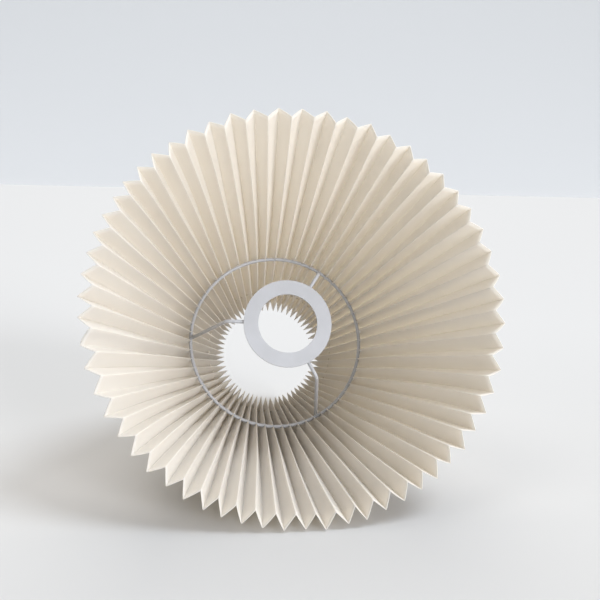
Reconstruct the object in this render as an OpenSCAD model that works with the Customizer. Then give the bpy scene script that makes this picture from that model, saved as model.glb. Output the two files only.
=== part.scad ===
// Pleated lamp shade on a bent-wire spider frame, wide rim down.
// The shade is one strip of laminate folded into equal panels and closed into a cone. Each panel
// has the same width at both ends, so the pleats are shallow at the wide rim, where the folds
// stand far apart, and deep at the small end, where they close up.
// A round carrier ring snaps into a notch in every inner fold. Three bent arms run from the ring
// down to a flat fitter washer that a lampholder's shade ring clamps.
// Origin: on the axis, in the plane the shade stands on. +Z runs from the wide rim to the small end.

/* [Pleated shade] */
// Radius of the outer folds at the wide rim
rim_r = 131; // [100:0.5:165]
// Radius of the outer folds at the small end
top_r = 49; // [40:0.5:62]
// Height between the two ends of the outer folds
shade_h = 204; // [165:1:255]
// Number of pleats, each of two panels
pleats = 60; // [48:1:72]
// Width of one panel, from fold to fold
panel_w = 10.8; // [9:0.1:13]
// Thickness of the laminate
sheet_t = 0.5; // [0.3:0.05:0.6]
// Pleat whose panel carries the glued lap
lap_pleat = 29; // [1:1:46]
// Share of the panel's width that the lap covers
lap_share = 0.7; // [0.4:0.05:0.75]
// Glue line between the two layers of the lap
glue_t = 0.2; // [0.15:0.05:0.3]

/* [Gathering thread] */
// Distance of the thread below the small end
thread_drop = 22; // [15:1:35]
// Radius of the thread
thread_r = 0.4; // [0.2:0.05:0.6]
// Clearance between the thread and its punched holes
hole_clear = 0.7; // [0.3:0.05:0.9]
// Radius of the knot that closes the thread
knot_r = 0.85; // [0.7:0.05:1]

/* [Wire frame] */
// Height of the carrier ring above the wide rim
ring_z = 136.5; // [105:0.5:165]
// Radius of the ring's and the arms' wire
wire_r = 1.25; // [1:0.05:1.5]
// How far the ring's centre line lies inside the notches, behind the inner folds
notch_in = 0.7; // [0.2:0.1:1.2]
// Clearance between the wire and its notch
notch_clear = 0.3; // [0.15:0.05:0.5]
// Angle of the first arm around the axis
arm_turn = 62; // [0:1:119]
// Radius at which each arm bends up out of the washer's plane
bend_r = 42; // [38:0.5:50]
// How far each arm's top end lies inside the ring's centre line, clear of the inner folds
arm_in = 1.8; // [1.6:0.1:2.2]
// Bend radius of each arm, to the middle of its wire
elbow_r = 4; // [2.5:0.5:6]
// Radius at which each arm starts on the washer
arm_start_r = 23.5; // [22:0.5:26]
// How deep the weld sinks an arm into the washer's face
weld_in = 0.3; // [0.1:0.05:0.5]

/* [Fitter washer] */
// Radius of the washer
washer_r = 30.5; // [28:0.5:34]
// Radius of the hole that the lampholder passes through
fitter_r = 20.5; // [13.5:0.25:21.5]
// Thickness of the washer
washer_t = 1.6; // [1:0.1:2.5]
// Height of the washer's underside above the plane the shade stands on
washer_z = 62.5; // [40:0.5:80]

/* [Hidden] */

half_turn = 180 / pleats;
// Inner fold radius that gives a panel its width when the outer fold is at radius ro
function inner_r(ro) = ro * cos(half_turn) - sqrt(pow(panel_w, 2) - pow(ro * sin(half_turn), 2));
rim_in = inner_r(rim_r);
top_in = inner_r(top_r);
// The strip is cut square to its folds, so the inner folds end lower than the outer ones
lean = (rim_r - top_r) / shade_h;
rim_step = (rim_r - rim_in) * lean;
top_step = (top_r - top_in) * lean;
foot_z = rim_step;
inner_h = shade_h + foot_z - top_step;
// Fold radii at a share e of the way from the rim to the small end, outer and inner
function out_r(e) = rim_r + (top_r - rim_r) * e;
function in_r(e) = rim_in + (top_in - rim_in) * e;
// Fold radii at a height z, outer and inner
function out_at(z) = out_r((z - foot_z) / shade_h);
function in_at(z) = in_r(z / inner_h);
// How far a fold's mitre stands out for each unit of depth
function mitre(e) = sqrt(pow(out_r(e), 2) + pow(in_r(e), 2) - 2 * out_r(e) * in_r(e) * cos(half_turn))
    / (out_r(e) * sin(half_turn));
// A point of fold k, a share e of the way up, at a depth v outside the middle of the laminate
function corner(k, e, v) = let (
    outer = k % 2 == 0,
    r = (outer ? out_r(e) : in_r(e)) + v * mitre(e),
    z = outer ? foot_z + e * shade_h : e * inner_h,
    a = k * half_turn
) [r * cos(a), r * sin(a), z];
folds = 2 * pleats;
// A panel twists between its two ends, so it is made of this many bands
bands = 4;

thread_z = foot_z + shade_h - thread_drop;
thread_loop_r = (out_at(thread_z) + in_at(thread_z)) / 2;
ring_r = in_at(ring_z) + notch_in;
arm_z = washer_z + washer_t + wire_r - weld_in;
// Angle at which each arm rises from the washer's plane to the ring
arm_rise = atan2(ring_z - arm_z, ring_r - arm_in - bend_r);
lap_k = 2 * lap_pleat;

// A round wire bent into a circle about the axis
module hoop(loop_r, r, z) {
    translate([0, 0, z]) rotate_extrude($fn = 180) translate([loop_r, 0]) circle(r = r, $fn = 32);
}

// Room for the ring's wire, cut out of whatever reaches inside it
module ring_notch() {
    translate([0, 0, ring_z - wire_r - notch_clear])
        cylinder(h = 2 * (wire_r + notch_clear), r = ring_r + wire_r + notch_clear, $fn = 180);
}

// The folded strip before its notches and holes
module folded_strip() {
    points = [for (k = [0 : folds - 1]) for (j = [0 : bands]) for (s = [-1, 1])
        corner(k, j / bands, s * sheet_t / 2)];
    // Index of a point: fold k, level j, side s (0 inside, 1 outside)
    function at(k, j, s) = 2 * ((k % folds) * (bands + 1) + j) + s;
    skins = [for (k = [0 : folds - 1]) for (j = [0 : bands - 1]) each [
        [at(k, j, 1), at(k, j + 1, 1), at(k + 1, j, 1)],
        [at(k + 1, j, 1), at(k, j + 1, 1), at(k + 1, j + 1, 1)],
        [at(k, j, 0), at(k + 1, j, 0), at(k, j + 1, 0)],
        [at(k + 1, j, 0), at(k + 1, j + 1, 0), at(k, j + 1, 0)]
    ]];
    edges = [for (k = [0 : folds - 1]) each [
        [at(k, 0, 0), at(k, 0, 1), at(k + 1, 0, 0)],
        [at(k + 1, 0, 0), at(k, 0, 1), at(k + 1, 0, 1)],
        [at(k, bands, 0), at(k + 1, bands, 0), at(k, bands, 1)],
        [at(k + 1, bands, 0), at(k + 1, bands, 1), at(k, bands, 1)]
    ]];
    polyhedron(points = points, faces = concat(skins, edges), convexity = 12);
}

// Laminate strip with a ring notch in each inner fold and a thread hole in each panel
module pleated_shade() {
    color([0.95, 0.92, 0.85])
    difference() {
        folded_strip();
        ring_notch();
        hoop(thread_loop_r, thread_r + hole_clear, thread_z);
    }
}

// Second layer where the strip's two ends lap, glued to the outside of one panel
module lap_seam() {
    near = sheet_t / 2 + glue_t;
    far = near + sheet_t;
    lo = (1 - lap_share) / 2;
    hi = 1 - lo;
    // A point a share u across the panel at a depth v, between the levels e and f of its two folds
    function across(u, e, f, v) = (1 - u) * corner(lap_k, e, v) + u * corner(lap_k + 1, f, v);
    // The lap bends where the panel does, at each level and along each band's diagonal
    levels = concat([for (j = [0 : bands - 1]) each [[j, j] / bands, [j + 1, j] / bands]], [[1, 1]]);
    points = [for (l = levels) each [
        across(lo, l[0], l[1], near), across(hi, l[0], l[1], near),
        across(hi, l[0], l[1], far), across(lo, l[0], l[1], far)]];
    skin = [for (j = [0 : 2 * bands - 1]) for (i = [0 : 3])
        let (p = 4 * j + i, n = 4 * j + (i + 1) % 4)
        each [[p, n, p + 4], [n, n + 4, p + 4]]];
    last = 8 * bands;
    caps = [[0, 3, 2], [0, 2, 1], [last, last + 1, last + 2], [last, last + 2, last + 3]];
    color([0.93, 0.9, 0.83])
    difference() {
        polyhedron(points = points, faces = concat(skin, caps));
        ring_notch();
        hoop(thread_loop_r, thread_r + hole_clear, thread_z);
    }
}

// Thread that runs once around through every panel and holds the small end together
module gather_thread() {
    color([0.9, 0.88, 0.82]) hoop(thread_loop_r, thread_r, thread_z);
}

// Knot of the thread, in the hollow of the pleat beside the lap
module thread_knot() {
    a = (lap_k + 2) * half_turn;
    color([0.88, 0.86, 0.8])
    difference() {
        translate([thread_loop_r * cos(a), thread_loop_r * sin(a), thread_z])
            sphere(r = knot_r, $fn = 32);
        hoop(thread_loop_r, thread_r, thread_z);
    }
}

// Ring that carries the shade in its notches
module carrier_ring() {
    color([0.9, 0.91, 0.93]) hoop(ring_r, wire_r, ring_z);
}

// One bent arm: flat on the washer, then up and out to the ring, with a weld at each end
module bent_arm(turn) {
    sides = 24;
    steps = 8;
    back = elbow_r * tan(arm_rise / 2);
    slope = (ring_z - arm_z) / sin(arm_rise) + 0.3 * wire_r;
    // Stations along the wire: radius, height and the way it points
    stations = concat(
        [[arm_start_r, arm_z, 0]],
        [for (i = [0 : steps]) let (t = arm_rise * i / steps)
            [bend_r - back + elbow_r * sin(t), arm_z + elbow_r * (1 - cos(t)), t]],
        [[bend_r + slope * cos(arm_rise), arm_z + slope * sin(arm_rise), arm_rise]]
    );
    last = len(stations) - 1;
    points = [for (s = stations) for (k = [0 : sides - 1]) let (a = 360 * k / sides)
        [s[0] - wire_r * cos(a) * sin(s[2]), wire_r * sin(a), s[1] + wire_r * cos(a) * cos(s[2])]];
    skin = [for (i = [0 : last - 1]) for (k = [0 : sides - 1])
        let (p = i * sides, q = p + sides, n = (k + 1) % sides)
        each [[p + k, q + k, q + n], [p + k, q + n, p + n]]];
    caps = [[for (k = [0 : sides - 1]) k], [for (k = [0 : sides - 1]) last * sides + sides - 1 - k]];
    rotate([0, 0, turn])
    difference() {
        polyhedron(points = points, faces = concat(skin, caps), convexity = 4);
        hoop(ring_r, wire_r, ring_z);
        translate([0, 0, washer_z]) cylinder(h = washer_t, r = washer_r, $fn = 120);
    }
}

module arm_1() {
    color([0.9, 0.91, 0.93]) bent_arm(arm_turn);
}

module arm_2() {
    color([0.9, 0.91, 0.93]) bent_arm(arm_turn + 120);
}

module arm_3() {
    color([0.9, 0.91, 0.93]) bent_arm(arm_turn + 240);
}

// Flat washer with the lampholder's hole
module fitter_washer() {
    color([0.88, 0.89, 0.91])
    translate([0, 0, washer_z])
    difference() {
        cylinder(h = washer_t, r = washer_r, $fn = 120);
        translate([0, 0, -1]) cylinder(h = washer_t + 2, r = fitter_r, $fn = 120);
    }
}

pleated_shade();
lap_seam();
gather_thread();
thread_knot();
carrier_ring();
arm_1();
arm_2();
arm_3();
fitter_washer();
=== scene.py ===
# %% [markdown]
# # A pleated lamp shade on a wire spider
#
# The shade is one long strip of stiff laminate, folded like an accordion and closed into a cone.
# A painted wire ring sits in notches in the inner folds, three bent arms run from it to a flat
# washer, and a thread gathers the pleats near the small end. The CAD model gives the hard parts
# and every size. Here the folded laminate gets its soft creases, small irregularities and grain,
# the thread gets its twist, and the wire frame gets its powder coat and its welds.
#
# The frame stands upright: +Z runs from the wide rim to the small end, in metres.

# %% Load the frame
import math

import bpy
import bmesh
from mathutils import Matrix, Vector, noise


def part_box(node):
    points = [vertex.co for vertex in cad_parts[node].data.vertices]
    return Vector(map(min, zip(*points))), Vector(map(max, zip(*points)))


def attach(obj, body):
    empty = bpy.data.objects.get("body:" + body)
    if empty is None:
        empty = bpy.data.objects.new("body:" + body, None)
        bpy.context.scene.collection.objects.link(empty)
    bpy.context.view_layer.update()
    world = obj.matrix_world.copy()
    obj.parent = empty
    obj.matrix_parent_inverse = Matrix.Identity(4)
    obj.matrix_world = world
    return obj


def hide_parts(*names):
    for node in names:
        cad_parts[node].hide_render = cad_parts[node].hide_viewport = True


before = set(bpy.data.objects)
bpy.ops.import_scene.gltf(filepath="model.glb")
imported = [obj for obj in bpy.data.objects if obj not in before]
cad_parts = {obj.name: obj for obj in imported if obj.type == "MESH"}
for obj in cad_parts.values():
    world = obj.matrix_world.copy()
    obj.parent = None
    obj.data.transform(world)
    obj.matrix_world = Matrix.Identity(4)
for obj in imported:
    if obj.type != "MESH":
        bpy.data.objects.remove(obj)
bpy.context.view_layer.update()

# %% [markdown]
# ## The camera
#
# The shade lies on its side and the camera looks into its wide mouth, a little from below the
# axis and from the left. Because the frame stands upright, the camera sits under the rim and
# looks up the axis. Its place is given by three directions at right angles, which is easier to
# keep exact than a set of angles.

# %% Camera
looking = Vector((0.14394, -0.22063, 0.96468)).normalized()
rightward = Vector((0.98946, 0.01616, -0.14394))
rightward = (rightward - looking * rightward.dot(looking)).normalized()
upward = rightward.cross(looking)

camera_data = bpy.data.cameras.new("camera")
camera_data.lens = 42.27
camera_data.sensor_width = 36
camera_data.clip_start, camera_data.clip_end = 0.01, 120
camera = bpy.data.objects.new("camera", camera_data)
bpy.context.collection.objects.link(camera)
camera_place = Vector((-0.06193, 0.09164, -0.41027))
camera.matrix_world = Matrix((
    (rightward.x, upward.x, -looking.x, camera_place.x),
    (rightward.y, upward.y, -looking.y, camera_place.y),
    (rightward.z, upward.z, -looking.z, camera_place.z),
    (0, 0, 0, 1)))
bpy.context.scene.camera = camera
print("camera", round(camera_place.length * 1000), "mm from the foot of the axis")

# %% [markdown]
# ## Arithmetic for materials
#
# A material is a network of nodes, and most of it is plain arithmetic. `Value` wraps a socket so
# that `0.5 + grain * 0.2` adds the Math nodes by itself, and `Finish.node` makes any other node from
# its type, its settings and what goes into its sockets. Numbers that never change over a surface
# are set straight on the shader.

# %% Value and Finish
class Value:
    """A number or colour that varies over a surface."""

    def __init__(self, finish, socket):
        self.finish, self.socket = finish, socket

    def _math(self, operation, first, second):
        return self.finish.node("ShaderNodeMath", {"operation": operation}, {0: first, 1: second})

    def __add__(self, other): return self._math("ADD", self, other)
    def __radd__(self, other): return self._math("ADD", other, self)
    def __mul__(self, other): return self._math("MULTIPLY", self, other)


class Finish:
    """One material, built node by node."""

    def __init__(self, name):
        self.material = bpy.data.materials.new(name)
        self.material.use_nodes = True
        self.tree = self.material.node_tree
        self.tree.nodes.clear()

    def node(self, kind, settings=None, inputs=None, out=0):
        made = self.tree.nodes.new(kind)
        for key, value in (settings or {}).items():
            setattr(made, key, value)
        for key, value in (inputs or {}).items():
            if isinstance(value, Value):
                self.tree.links.new(value.socket, made.inputs[key])
            else:
                made.inputs[key].default_value = value
        return Value(self, made.outputs[out])

    def blend(self, share, first, second):
        """Mixes two colours, each a Value or a plain (r, g, b)."""
        colours = [c if isinstance(c, Value) else (*c, 1) for c in (first, second)]
        return self.node("ShaderNodeMix", {"data_type": "RGBA"},
                         {0: share, 6: colours[0], 7: colours[1]}, out=2)

    def close(self, shader):
        end = self.tree.nodes.new("ShaderNodeOutputMaterial")
        self.tree.links.new(shader.socket, end.inputs[0])
        print("finish", self.material.name, "with", len(self.tree.nodes), "nodes")
        return self.material

# %% [markdown]
# ## The sizes of the shade
#
# The same few numbers as the CAD model drive everything: 60 pleats, the radii of the outer folds
# at both ends, the height, and the width of one panel. A panel is equally wide at both ends, so
# the inner fold's radius follows from the outer one by the law of cosines. That is why the pleats
# are shallow at the wide rim and deep at the small end. The strip is cut square to its folds, so
# the inner folds end a little lower than the outer ones.

# %% Sizes
PLEATS = 60
RIM_R, TOP_R, SHADE_H = 0.131, 0.049, 0.204
PANEL = 0.0108
LAMINATE_T = 0.00045
RING_Z, THREAD_DROP = 0.1365, 0.022
HALF = math.pi / PLEATS


def inner_radius(outer):
    return outer * math.cos(HALF) - math.sqrt(PANEL ** 2 - (outer * math.sin(HALF)) ** 2)


RIM_IN, TOP_IN = inner_radius(RIM_R), inner_radius(TOP_R)
LEAN = (RIM_R - TOP_R) / SHADE_H
FOOT = (RIM_R - RIM_IN) * LEAN
INNER_H = SHADE_H + FOOT - (TOP_R - TOP_IN) * LEAN
THREAD_Z = FOOT + SHADE_H - THREAD_DROP
slant = math.hypot(SHADE_H, RIM_R - TOP_R)
print("inner folds", round(RIM_IN * 1000, 2), "to", round(TOP_IN * 1000, 2), "mm")
print("slant", round(slant * 1000, 1), "mm")

# %% [markdown]
# ## Where the folds really lie
#
# A real pleated shade is never even. This one lies on its side, so the pleats crowd together
# where it rests and spread out on the far side, and the lap that closes the strip makes its
# neighbours stand apart. A few slow waves around the rim say how far each fold has wandered, and
# they fade towards the small end, where the thread and the ring hold the folds. Each outer fold
# also gets a small wobble of its own from seeded noise. The inner folds are not free: each lies
# one panel's width from both of its neighbours.

# %% Fold lines
def wander(angle):
    """How far the outer fold that belongs at an angle has moved around the rim, in radians."""
    waves = [(5.9, 1, 26), (1.6, 2, 39), (0.65, 3, 171), (0.9, 4, 66)]  # degrees, turns, degrees late
    total = sum(size * math.cos(n * angle - math.radians(late)) for size, n, late in waves)
    return math.radians(total - 2)


LAP = 29  # the pleat whose panel carries the glued lap


def lap_push(pleat):
    """The stiff double layer stands wide, and the next pleat closes up."""
    return math.radians({LAP - 1: 0.5, LAP: -0.2, LAP + 1: 1.0}.get(pleat, 0))


def wobble(seed, t, size, pace=2.2):
    return size * noise.noise(Vector((seed * 7.31, t * pace, 3.7)))


def outer_fold(pleat, t):
    angle = 2 * HALF * pleat
    hold = 1 - 0.5 * t
    r = RIM_R + (TOP_R - RIM_R) * t + wobble(pleat, t, 0.0016) * (1 - 0.6 * t)
    a = angle + wander(angle) * hold + lap_push(pleat % PLEATS) * (1 - t) \
        + wobble(pleat + 90, t, 0.0016) * (1 - 0.5 * t) / r
    return Vector((r * math.cos(a), r * math.sin(a), FOOT + SHADE_H * t))


def inner_fold(pleat, t):
    """The fold between outer folds pleat and pleat + 1, a panel's width from both."""
    one, two = outer_fold(pleat, t), outer_fold((pleat + 1) % PLEATS, t)
    outer = RIM_R + (TOP_R - RIM_R) * t
    inner = RIM_IN + (TOP_IN - RIM_IN) * t
    reach = math.sqrt(inner ** 2 + outer ** 2 - 2 * inner * outer * math.cos(HALF))
    middle = (one + two) / 2
    half_gap = (one - two).to_2d().length / 2
    inward = -Vector((middle.x, middle.y, 0)).normalized()
    deep = math.sqrt(max(reach ** 2 - half_gap ** 2, 1e-8))
    sway = Vector((-inward.y, inward.x, 0)) * wobble(pleat + 300, t, 0.0008)
    place = middle + inward * deep + sway
    place.z = INNER_H * t
    return place


rim_folds = [outer_fold(k, 0).to_2d() for k in range(PLEATS)]
pitches = [math.degrees(after.angle_signed(before)) for before, after in zip(rim_folds, rim_folds[1:])]
print("pleat spacing at the rim", round(min(pitches), 1), "to", round(max(pitches), 1), "degrees")

# %% [markdown]
# ## The folded laminate
#
# The laminate could be modelled as flat plates, but a real crease has a small round, a panel bows
# a little, and each thread hole and ring slot cuts through it. So the strip is a grid: nine
# columns to a panel, crowded near the creases, and about sixty rows up the height, with extra rows
# where the ring's slots and the thread's holes begin and end. Faces inside a slot are left out,
# and a hole's cell is filled with a ring of eight points. Solidify then gives the sheet its real
# thickness. A UV layer keeps each point's place on the flat strip, in metres, for the grain.

# %% Rows and columns of the grid
CREASE = 0.035  # share of a panel that bends round at each fold
COLUMNS = [0.0, CREASE / 2, CREASE, 0.22, 0.39, 0.61, 0.78, 1 - CREASE, 1 - CREASE / 2]
HOLE_COLUMN = COLUMNS.index(0.39)
NEAR_INNER = 0.78  # the slots cut the last column before each inner fold
SLOT_REACH = 0.0017
HOLE_R, HOLE_CELL = 0.00085, 0.0012
hole_t = 2 * (THREAD_Z - FOOT / 2) / (SHADE_H + INNER_H)
slot_rows = [(RING_Z - SLOT_REACH) / INNER_H, (RING_Z + SLOT_REACH) / INNER_H]
hole_rows = [hole_t - HOLE_CELL / slant, hole_t + HOLE_CELL / slant]
fixed_rows = sorted([0.0, 1.0] + slot_rows + hole_rows)
rows = list(fixed_rows)
for i in range(56):
    t = i / 55
    if min(abs(t - f) for f in fixed_rows) > 0.006:
        rows.append(t)
rows.sort()
print(len(rows), "rows of", len(COLUMNS) * 2 * PLEATS, "points")


def bow(panel, t, u):
    """How far a panel's middle bulges outward, most of all near the wide rim."""
    depth = 0.00012 * (1 - 0.75 * t) + 0.00025 * noise.noise(Vector((panel * 3.17, t * 1.6, 8.2)))
    return depth * 4 * u * (1 - u)


def folded_points(t):
    """One closed row of points around the strip at height t, rounded at each fold."""
    folds = []
    for k in range(PLEATS):
        folds += [outer_fold(k, t), inner_fold(k, t)]
    count = len(folds)

    def flat_point(panel, u):
        a, b = folds[panel % count], folds[(panel + 1) % count]
        along = b - a
        normal = Vector((along.y, -along.x, 0)).normalized()
        return a + along * u + normal * bow(panel % count, t, u)

    row = []
    for panel in range(count):
        for u in COLUMNS:
            if u < CREASE or u > 1 - CREASE:
                corner = folds[panel] if u < 0.5 else folds[(panel + 1) % count]
                at = panel if u < 0.5 else panel + 1
                before = flat_point(at - 1, 1 - CREASE)
                after = flat_point(at, CREASE)
                side = u if u < 0.5 else u - 1
                s = (side + CREASE) / (2 * CREASE)
                row.append(before * (1 - s) ** 2 + corner * 2 * s * (1 - s) + after * s ** 2)
            else:
                row.append(flat_point(panel, u))
    return row

# %% Build the strip
def build_strip():
    across = len(COLUMNS)
    around = across * 2 * PLEATS
    verts = [p for t in rows for p in folded_points(t)]
    faces, flat = [], []

    def flat_place(row, column):
        return (column // across + COLUMNS[column % across]) * PANEL, rows[row] * slant

    for r in range(len(rows) - 1):
        in_slot = slot_rows[0] - 1e-9 <= rows[r] < slot_rows[1] - 1e-9
        in_hole = abs(rows[r] - hole_rows[0]) < 1e-9
        for c in range(around):
            panel, column = divmod(c, across)
            to_inner = COLUMNS[column] if panel % 2 == 0 else 1 - COLUMNS[column]
            slot_here = to_inner >= NEAR_INNER - 1e-9 if panel % 2 == 0 else to_inner > NEAR_INNER + 1e-9
            if in_slot and slot_here:
                continue
            n = (c + 1) % around
            corners = [r * around + c, r * around + n, (r + 1) * around + n, (r + 1) * around + c]
            places = [flat_place(r, c), flat_place(r, c + 1), flat_place(r + 1, c + 1), flat_place(r + 1, c)]
            if not (in_hole and column == HOLE_COLUMN):
                faces.append(corners)
                flat.append(places)
                continue
            # A punched hole: eight points on a circle in the middle of the cell
            a, b, d = verts[corners[0]], verts[corners[1]], verts[corners[3]]
            middle = sum((verts[i] for i in corners), Vector()) / 4
            right, up = (b - a).normalized(), (d - a).normalized()
            centre = [(places[0][i] + places[2][i]) / 2 for i in (0, 1)]
            ring, ring_flat = [], []
            for i in range(8):
                w = math.pi * (i / 4 - 0.75)
                ring.append(len(verts))
                verts.append(middle + (right * math.cos(w) + up * math.sin(w)) * HOLE_R)
                ring_flat.append((centre[0] + HOLE_R * math.cos(w), centre[1] + HOLE_R * math.sin(w)))
            for side in range(4):
                i, j, k = 2 * side, (2 * side + 1) % 8, (2 * side + 2) % 8
                following = (side + 1) % 4
                faces.append([corners[side], corners[following], ring[k], ring[j], ring[i]])
                flat.append([places[side], places[following], ring_flat[k], ring_flat[j], ring_flat[i]])
    mesh = bpy.data.meshes.new("pleated_laminate")
    mesh.from_pydata([tuple(v) for v in verts], [], faces)
    layer = mesh.uv_layers.new(name="flat_strip")
    layer.data.foreach_set("uv", [x for face in flat for place in face for x in place])
    mesh.polygons.foreach_set("use_smooth", [True] * len(mesh.polygons))
    # Unused points inside the slots would float
    cleaner = bmesh.new()
    cleaner.from_mesh(mesh)
    bmesh.ops.delete(cleaner, geom=[v for v in cleaner.verts if not v.link_faces], context="VERTS")
    cleaner.to_mesh(mesh)
    cleaner.free()
    return mesh


shade = bpy.data.objects.new("pleated_laminate", build_strip())
bpy.context.collection.objects.link(shade)
thick = shade.modifiers.new("laminate thickness", "SOLIDIFY")
thick.thickness = LAMINATE_T
thick.offset = 0
print("strip:", len(shade.data.vertices), "points,", len(shade.data.polygons), "faces")

# %% [markdown]
# ## The glued lap
#
# The strip's two ends overlap by most of one panel and are glued. From inside it only shows as a
# slightly darker panel; from outside, a second cut edge runs up beside the fold. It follows the
# same folds as the strip, a glue line further out.

# %% Build the lap
LAP_STAND = 0.00058  # how far the second layer lies outside the first
SLOT_MARGIN, HOLE_MARGIN = 0.008, 0.009  # shares of the height left open beside a slot or a hole
GRAIN_SHIFT = 0.1  # metres along the strip, so that the two layers' grain differs


def build_lap():
    columns = [0.13, 0.2, 0.35, 0.5, 0.65, 0.8, 0.87]
    lap_rows = [i / 60 for i in range(61)]
    verts, faces, flat = [], [], []
    for t in lap_rows:
        a, b = outer_fold(LAP, t), inner_fold(LAP, t)
        along = b - a
        normal = Vector((along.y, -along.x, 0)).normalized()
        if normal.dot(Vector((a.x, a.y, 0))) < 0:
            normal.negate()
        for u in columns:
            outside = 1 if Vector((along.y, -along.x, 0)).dot(normal) > 0 else -1
            stand = LAP_STAND + bow(2 * LAP, t, u) * outside
            verts.append(a + along * u + normal * stand)
    for r in range(len(lap_rows) - 1):
        for c in range(len(columns) - 1):
            i = r * len(columns) + c
            middle_t = (lap_rows[r] + lap_rows[r + 1]) / 2
            if c >= 4 and slot_rows[0] - SLOT_MARGIN < middle_t < slot_rows[1] + SLOT_MARGIN:
                continue
            if 1 <= c <= 4 and abs(middle_t - hole_t) < HOLE_MARGIN:
                continue
            faces.append([i, i + 1, i + 1 + len(columns), i + len(columns)])
            flat.append([(columns[c + d] * PANEL - GRAIN_SHIFT, lap_rows[r + e] * slant)
                         for d, e in ((0, 0), (1, 0), (1, 1), (0, 1))])
    mesh = bpy.data.meshes.new("glued_lap")
    mesh.from_pydata([tuple(v) for v in verts], [], faces)
    layer = mesh.uv_layers.new(name="flat_strip")
    layer.data.foreach_set("uv", [x for face in flat for place in face for x in place])
    mesh.polygons.foreach_set("use_smooth", [True] * len(mesh.polygons))
    return mesh


lap = bpy.data.objects.new("glued_lap", build_lap())
bpy.context.collection.objects.link(lap)
layer_thick = lap.modifiers.new("laminate thickness", "SOLIDIFY")
layer_thick.thickness = LAMINATE_T
layer_thick.offset = 0
print("lap:", len(lap.data.polygons), "faces")

# %% [markdown]
# ## The gathering thread and its knot
#
# The thread goes once around through the punched holes. It is two plies twisted together, so it
# is built as two thin strands that wind around a common line. Between two panels the line runs
# nearly straight. The knot is a small overhand bundle with two short tails, in the hollow beside
# the lap.

# %% Build the thread
def hole_place(panel):
    """The middle of the thread hole in a panel."""
    k, odd = divmod(panel % (2 * PLEATS), 2)
    a = outer_fold(k, hole_t) if not odd else inner_fold(k, hole_t)
    b = inner_fold(k, hole_t) if not odd else outer_fold((k + 1) % PLEATS, hole_t)
    return (a + b) / 2


def smooth_closed(points, steps):
    """A closed curve through the points (Catmull-Rom)."""
    n, out = len(points), []
    for i in range(n):
        p0, p1, p2, p3 = (points[(i + j) % n] for j in (-1, 0, 1, 2))
        for s in range(steps):
            t = s / steps
            out.append(0.5 * (2 * p1 + (p2 - p0) * t + (2 * p0 - 5 * p1 + 4 * p2 - p3) * t ** 2
                              + (3 * p1 - p0 - 3 * p2 + p3) * t ** 3))
    return out


def strand(name, line, radius, closed=True, sides=8):
    """A thin tube along a line of points."""
    verts, faces, n = [], [], len(line)
    side = Vector((0, 0, 1))
    for i, p in enumerate(line):
        ahead = line[(i + 1) % n] if closed or i < n - 1 else p
        behind = line[i - 1] if closed or i else p
        along = (ahead - behind).normalized()
        side = (side - along * side.dot(along)).normalized()
        other = along.cross(side)
        size = radius if closed or 0 < i < n - 1 else radius * 0.6
        verts += [p + (side * math.cos(w) + other * math.sin(w)) * size
                  for w in (2 * math.pi * s / sides for s in range(sides))]
    for i in range(n if closed else n - 1):
        j = (i + 1) % n
        for s in range(sides):
            e = (s + 1) % sides
            faces.append([i * sides + s, i * sides + e, j * sides + e, j * sides + s])
    if not closed:
        faces += [list(range(sides))[::-1], [(n - 1) * sides + s for s in range(sides)]]
    mesh = bpy.data.meshes.new(name)
    mesh.from_pydata([tuple(v) for v in verts], [], faces)
    mesh.polygons.foreach_set("use_smooth", [True] * len(mesh.polygons))
    piece = bpy.data.objects.new(name, mesh)
    bpy.context.collection.objects.link(piece)
    return piece


thread_line = smooth_closed([hole_place(p) for p in range(2 * PLEATS)], 8)
threads = []
for ply in range(2):
    twisted = []
    for i, p in enumerate(thread_line):
        along = (thread_line[(i + 1) % len(thread_line)] - p).normalized()
        level = along.cross(Vector((0, 0, 1))).normalized()
        turn = 2 * math.pi * (i / 6 + ply / 2)
        twisted.append(p + (level * math.cos(turn) + Vector((0, 0, 1)) * math.sin(turn)) * 0.0002)
    threads.append(strand(f"gathering_thread_ply_{ply + 1}", twisted, 0.00021))
print("thread loop:", round(sum((a - b).length for a, b in zip(thread_line, thread_line[1:])) * 1000), "mm long")

# %% Build the knot
KNOT_PANEL = 2 * LAP + 2
knot_at = (hole_place(KNOT_PANEL - 1) + hole_place(KNOT_PANEL)) / 2
tangent = (hole_place(KNOT_PANEL) - hole_place(KNOT_PANEL - 1)).normalized()
outward = Vector((knot_at.x, knot_at.y, 0)).normalized()
knot_line = []
for i in range(97):
    w = 2 * math.pi * i / 96
    knot_line.append(knot_at + tangent * 0.0006 * math.sin(3 * w)
                     + outward * (0.0005 + 0.00022 * math.cos(3 * w)) * math.cos(2 * w)
                     + Vector((0, 0, 1)) * (0.0005 + 0.00022 * math.cos(3 * w)) * math.sin(2 * w))
knot = strand("thread_knot_bundle", knot_line[:-1], 0.00024)
tails = []
for way in (-1, 1):
    tail = []
    for s in range(9):
        heading = outward * 0.6 + tangent * way * 0.25 - Vector((0, 0, 1)) * 0.25 * s * 0.1
        tail.append(knot_at + tangent * way * 0.0006 + heading * 0.0006 * s)
    tails.append(strand("knot_tail_" + ("left" if way < 0 else "right"), tail, 0.00022, closed=False))
print("knot at", [round(v * 1000, 1) for v in knot_at])

# %% [markdown]
# ## Welds on the wire frame
#
# The ring is one round of wire, butt-welded, and each arm is resistance-welded to the ring and to
# the washer. A real weld leaves a small flowed collar, not a clean meeting of two cylinders. Each
# weld is a low bead, a squashed ball with a slightly uneven surface, half sunk in both pieces.

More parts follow.
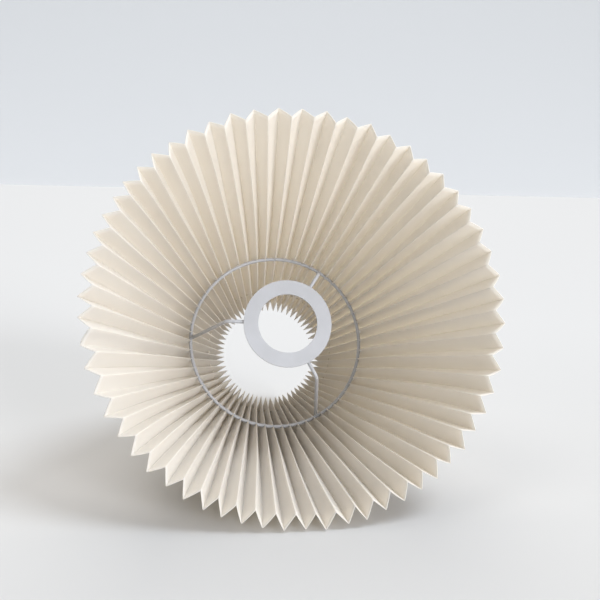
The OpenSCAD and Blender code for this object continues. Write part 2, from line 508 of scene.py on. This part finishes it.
# %% Build the welds
WIRE_R, WASHER_Z, WASHER_T = 0.00125, 0.0625, 0.0016
ARM_TURNS = [62, 182, 302]
ring_low, ring_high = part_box("carrier_ring")
RING_LOOP = (ring_high[0] - ring_low[0]) / 2 - WIRE_R


def weld_bead(name, place, axes, sizes, seed):
    """A squashed, slightly uneven ball. axes are three directions, sizes its half lengths."""
    mesh = bpy.data.meshes.new(name)
    shape = bmesh.new()
    bmesh.ops.create_icosphere(shape, subdivisions=3, radius=1)
    for v in shape.verts:
        lumps = 1 + 0.12 * noise.noise(v.co * 2.1 + Vector((seed, 0, 0)))
        d = v.co * lumps
        v.co = place + axes[0] * d.x * sizes[0] + axes[1] * d.y * sizes[1] + axes[2] * d.z * sizes[2]
    bmesh.ops.recalc_face_normals(shape, faces=shape.faces)
    shape.to_mesh(mesh)
    shape.free()
    mesh.polygons.foreach_set("use_smooth", [True] * len(mesh.polygons))
    piece = bpy.data.objects.new(name, mesh)
    bpy.context.collection.objects.link(piece)
    return piece


BEND_R, ARM_IN = 0.042, 0.0018
WELD_IN = 0.0003  # how far an arm sinks into the washer
arm_z = WASHER_Z + WASHER_T + WIRE_R - WELD_IN
welds = []
for number, turn in enumerate(ARM_TURNS, 1):
    a = math.radians(turn)
    out, around = Vector((math.cos(a), math.sin(a), 0)), Vector((-math.sin(a), math.cos(a), 0))
    up = Vector((0, 0, 1))
    rise = (Vector((RING_LOOP - ARM_IN - BEND_R, 0, RING_Z - arm_z))).normalized()
    leg = out * rise.x + up * rise.z
    meet = out * (RING_LOOP - ARM_IN * 0.5) + up * (RING_Z - 0.0006)
    welds.append(weld_bead(f"ring_weld_{number}", meet, (leg, around, leg.cross(around)),
                           (0.0010, 0.0017, 0.00135), number))
    for way, name in ((-1, "left"), (1, "right")):
        foot = out * 0.027 + around * way * 0.0010 + up * (WASHER_Z + WASHER_T)
        welds.append(weld_bead(f"washer_weld_{number}_{name}", foot, (out, around, up),
                               (0.0034, 0.00075, 0.0006), 20 + number * 2 + way))
joint_at = math.radians(250)
joint_out = Vector((math.cos(joint_at), math.sin(joint_at), 0))
joint_along = Vector((-joint_out.y, joint_out.x, 0))
welds.append(weld_bead("ring_butt_weld", joint_out * RING_LOOP + Vector((0, 0, RING_Z)),
                       (joint_along, joint_out, Vector((0, 0, 1))), (0.0011, 0.00142, 0.00142), 50))
print(len(welds), "welds")

# %% [markdown]
# ## The laminate's finish
#
# The laminate is a woven-look paper on a thin film. It is an off-white cream, satin rather than
# shiny, with a fine vertical grain and a faint cross thread. Light also comes through it, which
# warms the whole inside. The grain is noise stretched along the strip's flat coordinates, and a
# slow noise varies the cream a little from pleat to pleat. Two fifths of the surface is a
# Translucent shader of one constant, warmer colour, and the double layer of the lap has less.

# %% Laminate
def laminate_finish(name, cream, deep, through, share):
    f = Finish(name)
    flat = f.node("ShaderNodeUVMap", {"uv_map": "flat_strip"})
    lengthways = f.node("ShaderNodeMapping", inputs={"Vector": flat, "Scale": (2600, 120, 1)})
    crossways = f.node("ShaderNodeMapping", inputs={"Vector": flat, "Scale": (150, 2200, 1)})
    slow = f.node("ShaderNodeMapping", inputs={"Vector": flat, "Scale": (45, 14, 1)})
    up_grain = f.node("ShaderNodeTexNoise", inputs={
        "Vector": lengthways, "Scale": 1.0, "Detail": 2.0, "Roughness": 0.55})
    cross_grain = f.node("ShaderNodeTexNoise", inputs={
        "Vector": crossways, "Scale": 1.0, "Detail": 2.0, "Roughness": 0.55})
    cloud = f.node("ShaderNodeTexNoise", inputs={
        "Vector": slow, "Scale": 1.0, "Detail": 3.0, "Roughness": 0.5})
    grain = up_grain * 0.6 + cross_grain * 0.4
    clouded = f.node("ShaderNodeMapRange", inputs={0: cloud, 1: 0.3, 2: 0.7})
    grained = f.node("ShaderNodeMapRange", inputs={0: grain, 1: 0.38, 2: 0.62, 3: 0.0, 4: 0.16})
    colour = f.blend(grained, f.blend(clouded, cream, deep), deep)
    height = f.node("ShaderNodeBump", inputs={"Strength": 0.22, "Distance": 0.00006, "Height": grain})
    skin = f.node("ShaderNodeBsdfPrincipled", inputs={
        "Base Color": colour, "Roughness": 0.5 + grain * 0.2, "Normal": height,
        "Specular IOR Level": 0.35, "Sheen Weight": 0.08, "Sheen Roughness": 0.5})
    glow = f.node("ShaderNodeBsdfTranslucent", inputs={"Color": (*through, 1)})
    return f.close(f.node("ShaderNodeMixShader", inputs={0: share, 1: skin, 2: glow}))


laminate = laminate_finish(
    "cream_laminate", (0.972, 0.964, 0.96), (0.955, 0.941, 0.931), (0.98, 0.905, 0.77), 0.40)
lap_laminate = laminate_finish(
    "lapped_laminate", (0.945, 0.942, 0.935), (0.92, 0.912, 0.898), (0.95, 0.86, 0.68), 0.3)
shade.data.materials.append(laminate)
lap.data.materials.append(lap_laminate)

# %% [markdown]
# ## The thread's and the frame's finishes
#
# The thread is matt cotton, with a fibre bump. The wire frame has a pale grey powder coat: a
# satin paint with a fine orange peel, slightly darker where it thins over the weld beads.

# %% Thread and powder coat
def cotton_finish():
    f = Finish("twisted_cotton")
    place = f.node("ShaderNodeTexCoord", out=3)
    fibre = f.node("ShaderNodeTexNoise", inputs={"Vector": place, "Scale": 2600.0, "Detail": 3.0})
    colour = f.blend(fibre, (0.83, 0.79, 0.70), (0.70, 0.65, 0.56))
    height = f.node("ShaderNodeBump", inputs={"Strength": 0.4, "Distance": 0.00005, "Height": fibre})
    return f.close(f.node("ShaderNodeBsdfPrincipled", inputs={
        "Base Color": colour, "Roughness": 0.8 + fibre * 0.15, "Normal": height, "Sheen Weight": 0.2}))


def powder_coat(name, light, dark, peel=1400.0):
    f = Finish(name)
    place = f.node("ShaderNodeTexCoord", out=3)
    peel_noise = f.node("ShaderNodeTexNoise", inputs={
        "Vector": place, "Scale": peel, "Detail": 2.0, "Roughness": 0.5})
    patches = f.node("ShaderNodeTexNoise", inputs={"Vector": place, "Scale": 60.0, "Detail": 2.0})
    colour = f.blend(f.node("ShaderNodeMapRange", inputs={0: patches, 1: 0.35, 2: 0.65}), light, dark)
    height = f.node("ShaderNodeBump", inputs={"Strength": 0.25, "Distance": 0.00008, "Height": peel_noise})
    return f.close(f.node("ShaderNodeBsdfPrincipled", inputs={
        "Base Color": colour, "Roughness": 0.36 + patches * 0.15, "Normal": height,
        "Specular IOR Level": 0.5}))


cotton = cotton_finish()
paint = powder_coat("pale_grey_powder_coat", (0.52, 0.525, 0.555), (0.49, 0.495, 0.52))
weld_paint = powder_coat("powder_coat_on_welds", (0.49, 0.495, 0.515), (0.44, 0.445, 0.465), 2400.0)
for piece in threads + [knot] + tails:
    piece.data.materials.append(cotton)
for piece in welds:
    piece.data.materials.append(weld_paint)
for node in ("carrier_ring", "arm_1", "arm_2", "arm_3", "fitter_washer"):
    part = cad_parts[node]
    for i in range(len(part.material_slots)):
        part.material_slots[i].link = "OBJECT"
        part.material_slots[i].material = paint

# %% [markdown]
# ## What rides on what
#
# Nothing moves on this object, so every piece rides on the one body. The laminate and its lap
# stand for their CAD solids, and so do the thread and the knot.

for piece in [shade, lap, knot, *threads, *tails, *welds]:
    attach(piece, "root")
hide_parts("pleated_shade")
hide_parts("lap_seam")
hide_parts("gather_thread")
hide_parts("thread_knot")

# %% [markdown]
# ## The table, the wall and the floor
#
# The shade lies on a white table, on a line down its side. In this frame that table is a plane
# that leans with the cone, and a wall stands far behind it. Both show only their front, so that a
# camera behind them still sees the shade. The other views look at the shade standing upright, so
# a level floor lies under the rim and shows only from above.

# %% Table, wall and floor
touch = math.radians(89)
half_cone = math.atan2(RIM_R - TOP_R, SHADE_H)
table_up = -Vector((math.cos(touch) * math.cos(half_cone),
                    math.sin(touch) * math.cos(half_cone),
                    math.sin(half_cone)))
table_far = (looking - table_up * looking.dot(table_up)).normalized()
table_side = table_far.cross(table_up)
contact = Vector((RIM_R * math.cos(touch), RIM_R * math.sin(touch), FOOT)) - table_up * 0.0012
print("camera stands", round((camera_place - contact).dot(table_up) * 1000), "mm above the table")


def stage_sheet(name, centre, side, along, half_side, half_along, facing):
    mesh = bpy.data.meshes.new(name)
    corners = [centre + side * half_side * i + along * half_along * j
               for i, j in ((-1, -1), (1, -1), (1, 1), (-1, 1))]
    if (corners[1] - corners[0]).cross(corners[2] - corners[0]).dot(facing) < 0:
        corners.reverse()
    mesh.from_pydata([tuple(c) for c in corners], [], [[0, 1, 2, 3]])
    piece = bpy.data.objects.new(name, mesh)
    bpy.context.collection.objects.link(piece)
    return piece


WALL_FAR = 40.0
table = stage_sheet("table", contact + table_far * (WALL_FAR / 2 - 3),
                    table_side, table_far, 30, WALL_FAR / 2 + 3, table_up)
wall = stage_sheet("wall", contact + table_far * WALL_FAR + table_up * 15,
                   table_side, table_up, 40, 15, -table_far)
floor = stage_sheet("floor", Vector((0, 0, -0.0004)),
                    Vector((1, 0, 0)), Vector((0, 1, 0)), 12, 12, Vector((0, 0, 1)))
for piece in (wall, floor):  # seen by the camera only, so they take no light from the shade
    piece.visible_diffuse = piece.visible_glossy = piece.visible_transmission = False
    piece.visible_shadow = False


def stage_finish(name, colour, other, along, near, far):
    """A matt surface that turns from one colour to the other between two distances along a line."""
    f = Finish(name)
    place = f.node("ShaderNodeNewGeometry", out=0)
    reach = f.node("ShaderNodeVectorMath", {"operation": "DOT_PRODUCT"},
                   {0: place, 1: tuple(along)}, out=1)
    share = f.node("ShaderNodeMapRange", {"interpolation_type": "SMOOTHSTEP"},
                   {0: reach, 1: near, 2: far})
    tooth = f.node("ShaderNodeTexNoise", inputs={"Vector": place, "Scale": 220.0, "Detail": 2.0})
    tint = f.blend(share, colour, other)
    front = f.node("ShaderNodeBsdfPrincipled", inputs={
        "Base Color": tint, "Roughness": 0.55 + tooth * 0.1, "Specular IOR Level": 0.2})
    clear = f.node("ShaderNodeBsdfTransparent")
    back = f.node("ShaderNodeNewGeometry", out=6)
    return f.close(f.node("ShaderNodeMixShader", inputs={0: back, 1: front, 2: clear}))


foot_line = contact.dot(table_up)
start = camera_place.dot(table_far)
# The table is painted darker near the camera than far off: painted shade, where the light falls off towards the
# front.
table.data.materials.append(stage_finish(
    "white_table", (0.64, 0.64, 0.647), (0.70, 0.703, 0.715), table_far, start + 0.15, start + 1.1))
wall.data.materials.append(stage_finish(
    "grey_wall", (0.70, 0.715, 0.735), (0.68, 0.695, 0.715), table_up, foot_line - 0.1, foot_line + 0.5))
floor.data.materials.append(stage_finish(
    "pale_floor", (0.84, 0.845, 0.86), (0.84, 0.845, 0.86), Vector((0, 0, 1)), 0, 1))

# %% [markdown]
# ## Light
#
# A high-key studio: a bright surround from every side, a low light in front and to the right that
# gives the pleats their light and dark faces, a cool one high on the right whose shadow falls to
# the left, a weak warm one high on the left, and a warm one behind that comes through the
# laminate. Sun lamps with a wide angle stand for the soft boxes, because their light is as strong
# on the far wall as on the table, as in a studio whose backdrop is lit too.

# %% Lamps and surround
world = bpy.data.worlds.new("studio")
bpy.context.scene.world = world
world.use_nodes = True
surround = world.node_tree.nodes["Background"]
surround.inputs["Color"].default_value = (0.97, 0.985, 1.0, 1)
surround.inputs["Strength"].default_value = 0.25


def soft_light(name, turn, height, strength, spread, colour):
    """A light from turn degrees round to the right of the camera and height degrees up."""
    a, e = math.radians(turn), math.radians(height)
    level = table_side * math.sin(a) - table_far * math.cos(a)
    towards = level * math.cos(e) + table_up * math.sin(e)
    lamp = bpy.data.lights.new(name, "SUN")
    lamp.energy, lamp.angle, lamp.color = strength, math.radians(spread), colour
    piece = bpy.data.objects.new(name, lamp)
    bpy.context.collection.objects.link(piece)
    piece.rotation_mode = "QUATERNION"
    piece.rotation_quaternion = (-towards).to_track_quat("-Z", "Y")
    return piece


soft_light("key_low_in_front", 42, 14, 2.25, 26, (0.965, 0.98, 1.0))
soft_light("side_from_the_right", 84, 60, 1.5, 24, (0.88, 0.94, 1.0))
soft_light("side_from_the_left", -62, 62, 0.45, 28, (1.0, 0.96, 0.89))
soft_light("behind", 180, 55, 1.35, 50, (1.0, 0.955, 0.88))

scene = bpy.context.scene
scene.view_settings.view_transform = "Standard"
scene.view_settings.look = "None"
scene.view_settings.exposure = 0
